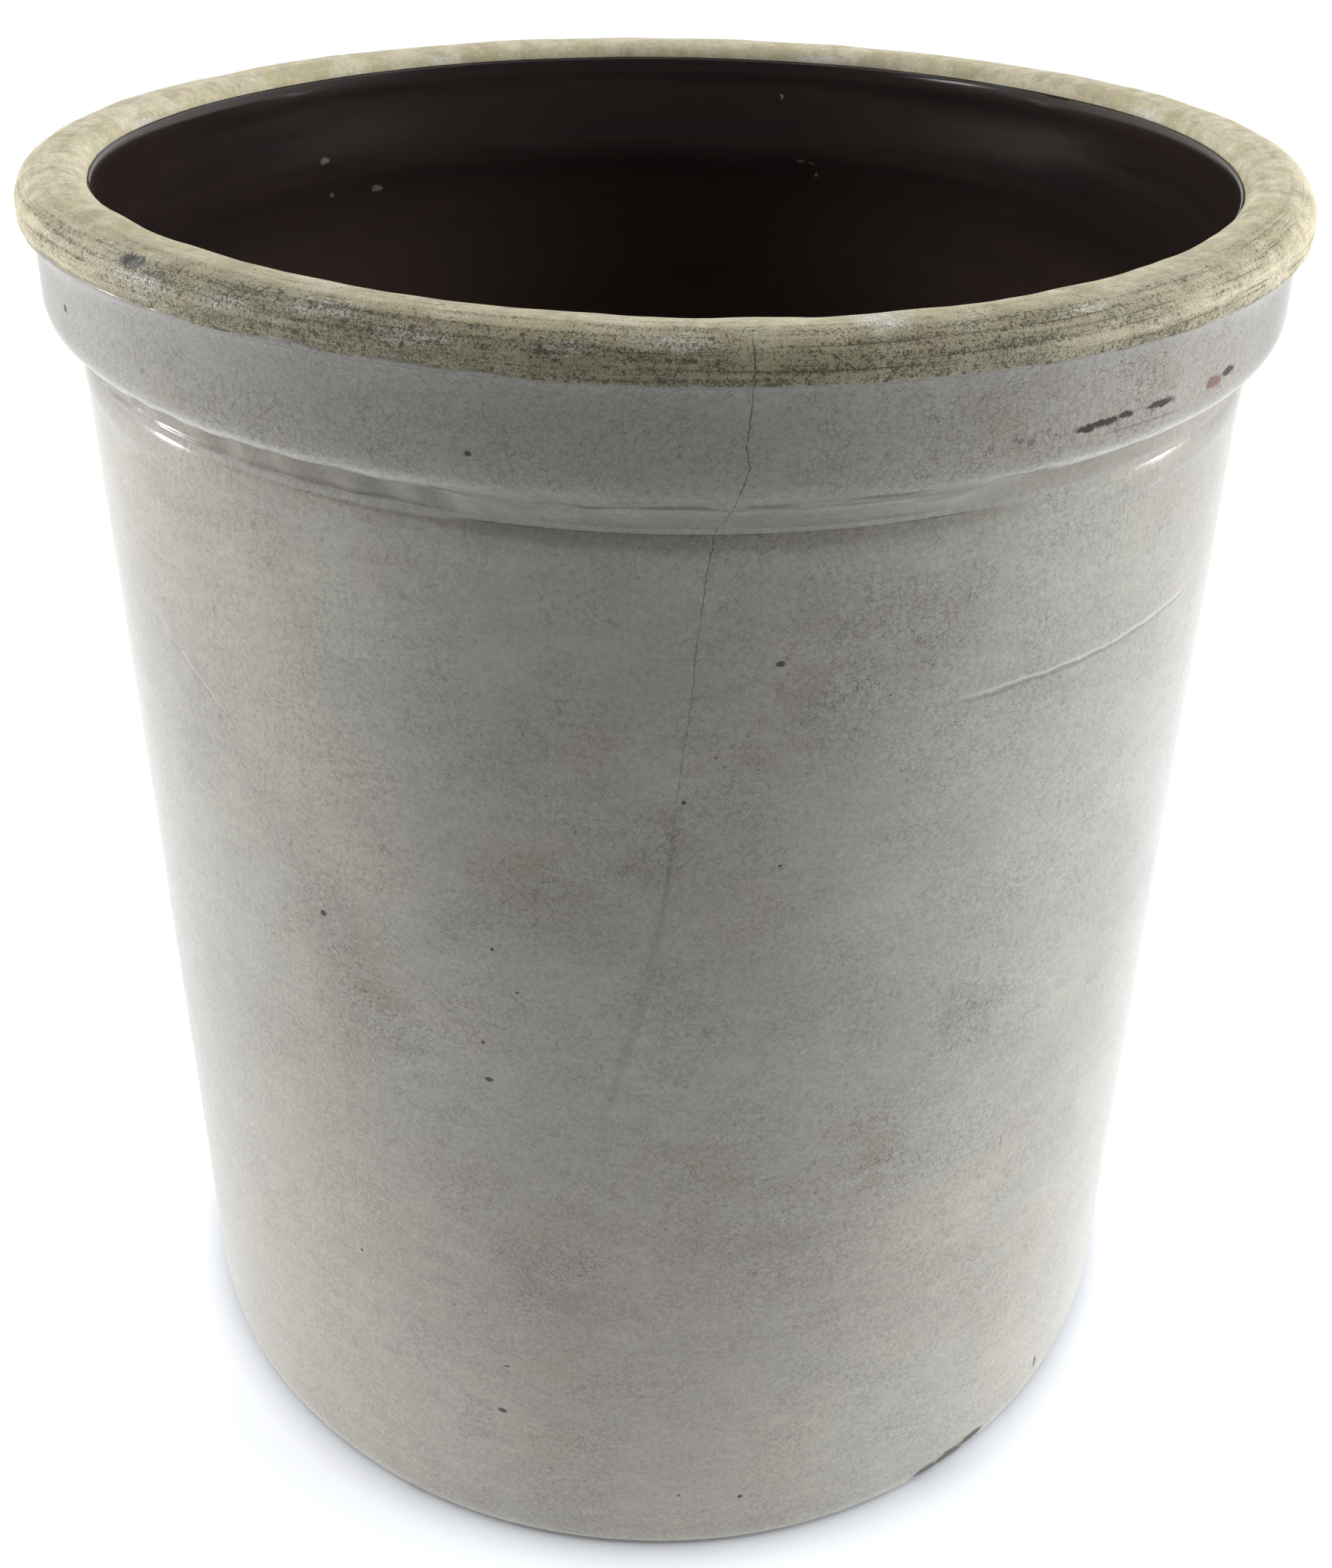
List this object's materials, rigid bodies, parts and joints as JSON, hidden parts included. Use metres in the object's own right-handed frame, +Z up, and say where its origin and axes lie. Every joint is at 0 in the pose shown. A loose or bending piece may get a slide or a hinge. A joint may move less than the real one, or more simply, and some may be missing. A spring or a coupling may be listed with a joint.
{
  "type": "stoneware crock",
  "caption": "Tall straight-sided stoneware crock: bare rolled lip, collar and neck groove under it, crackled pale glaze outside, dark slip glaze inside. It stores food and drink.",
  "frame": {"origin": "centre of the foot, on the surface that the crock stands on", "axes": "+Z up along the axis of the pot, +X to the right and +Y to the back of the side seen in the picture"},
  "size_m": [0.2662, 0.2662, 0.294],
  "materials": {
    "bare_stoneware": "unglazed buff stoneware, matt, worn and specked",
    "crackled_glaze": "glossy pale grey glaze with a fine brown crackle",
    "dark_slip_glaze": "glossy dark brown slip glaze"
  },
  "bodies": {
    "root": {"stoneware_body": "bare_stoneware", "outer_glaze": "crackled_glaze", "inner_slip_glaze": "dark_slip_glaze"}
  },
  "joints": []
}
